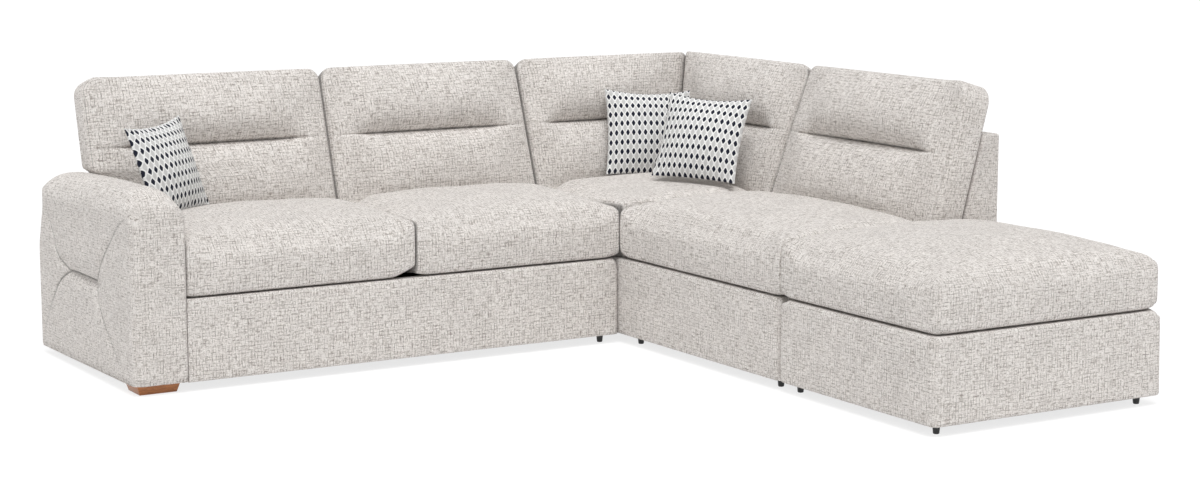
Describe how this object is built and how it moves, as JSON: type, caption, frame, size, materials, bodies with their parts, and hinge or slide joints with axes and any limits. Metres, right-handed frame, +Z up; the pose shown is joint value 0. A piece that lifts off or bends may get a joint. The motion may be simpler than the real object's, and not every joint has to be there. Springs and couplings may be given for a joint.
{
  "type": "sofa with chaise",
  "caption": "Fabric corner sofa with one arm, an armless chaise end and a footstool, leaning back cushions with a deep channel, and patterned scatter cushions.",
  "frame": {"origin": "on the floor, under the middle of the sofa's outline", "axes": "+X along the armed run from the arm to the corner, +Y towards the wall behind it, +Z up; the chaise end and the footstool come forward along -Y at +X"},
  "size_m": [2.7465, 2.6886, 0.9767],
  "materials": {
    "tweed_weave": "light grey-beige chunky weave with darker slubs",
    "patterned_weave": "off-white weave with near-black and grey lozenges",
    "black_plastic": "matt black",
    "oak": "satin lacquered, honey brown",
    "frame_timber": "sawn timber and plywood",
    "spring_steel": "drawn wire",
    "black_cloth": "thin non-woven"
  },
  "bodies": {
    "root": {"arm_cover": "tweed_weave", "arm_frame": "frame_timber", "back_cushion_corner_left": "tweed_weave", "back_cushion_corner_right": "tweed_weave", "back_cushion_left": "tweed_weave", "back_cushion_middle": "tweed_weave", "back_cushion_right": "tweed_weave", "corner_back_board": "frame_timber", "corner_back_cover": "tweed_weave", "corner_rail": "frame_timber", "footstool_cushion": "tweed_weave", "footstool_dust_cover": "black_cloth", "footstool_front_border": "tweed_weave", "footstool_front_rail": "frame_timber", "footstool_left_border": "tweed_weave", "footstool_left_rail": "frame_timber", "footstool_rear_border": "tweed_weave", "footstool_rear_rail": "frame_timber", "footstool_right_border": "tweed_weave", "footstool_right_rail": "frame_timber", "footstool_spring_deck": "spring_steel", "glide_foot_arm_rear": "black_plastic", "glide_foot_corner_rear": "black_plastic", "glide_foot_left_front": "black_plastic", "glide_foot_left_rear": "black_plastic", "glide_foot_right_end": "black_plastic", "glide_foot_right_front": "black_plastic", "glide_foot_right_middle": "black_plastic", "glide_foot_right_rear": "black_plastic", "glide_foot_stool_front_left": "black_plastic", "glide_foot_stool_front_right": "black_plastic", "glide_foot_stool_rear_left": "black_plastic", "glide_foot_stool_rear_right": "black_plastic", "left_back_board": "frame_timber", "left_back_cover": "tweed_weave", "left_dust_cover": "black_cloth", "left_end_border": "tweed_weave", "left_end_rail": "frame_timber", "left_front_border": "tweed_weave", "left_front_rail": "frame_timber", "left_rear_rail": "frame_timber", "left_spring_deck": "spring_steel", "right_back_board": "frame_timber", "right_back_cover": "tweed_weave", "right_dust_cover": "black_cloth", "right_end_border": "tweed_weave", "right_end_rail": "frame_timber", "right_front_border": "tweed_weave", "right_front_rail": "frame_timber", "right_rear_rail": "frame_timber", "right_spring_deck": "spring_steel", "scatter_cushion_arm": "patterned_weave", "scatter_cushion_corner_left": "patterned_weave", "scatter_cushion_corner_right": "patterned_weave", "seat_cushion_corner": "tweed_weave", "seat_cushion_left": "tweed_weave", "seat_cushion_middle": "tweed_weave", "seat_cushion_right": "tweed_weave", "wooden_block_foot": "oak"}
  },
  "joints": []
}
